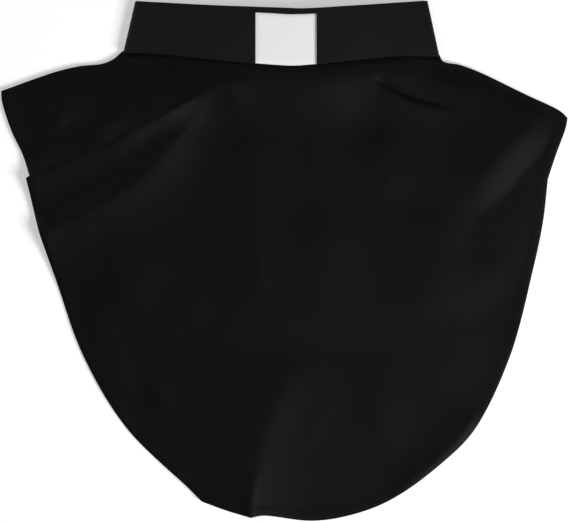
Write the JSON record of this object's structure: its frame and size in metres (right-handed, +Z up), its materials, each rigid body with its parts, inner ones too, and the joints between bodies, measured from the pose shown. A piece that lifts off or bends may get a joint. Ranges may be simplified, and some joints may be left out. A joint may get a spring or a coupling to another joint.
{
  "type": "clerical collar dickey, laid flat",
  "caption": "Black bib shirt front with a stand-up clerical collar, a white tab in its front window and a back opening, laid flat with the front up.",
  "frame": {"origin": "the middle of the footprint, on the surface that the dickey lies on", "axes": "+Z up from the surface, +Y from the hem to the collar, +X to the right as seen from above, which is the wearer's left"},
  "size_m": [0.3627, 0.333, 0.0102],
  "materials": {
    "black_shirting": "soft matt poly-cotton shirting",
    "black_collar_cloth": "the same shirting fused to a stiffener",
    "white_tab_plastic": "smooth white, slightly glossy",
    "black_fastener_tape": "fuzzy loop and stubby hook tape"
  },
  "bodies": {
    "root": {"front_bib": "black_shirting", "back_left": "black_shirting", "back_right": "black_shirting", "collar_band_outer": "black_collar_cloth", "collar_band_inner": "black_collar_cloth", "collar_tab": "white_tab_plastic", "fastener_loop": "black_fastener_tape", "fastener_hook": "black_fastener_tape"}
  },
  "joints": []
}
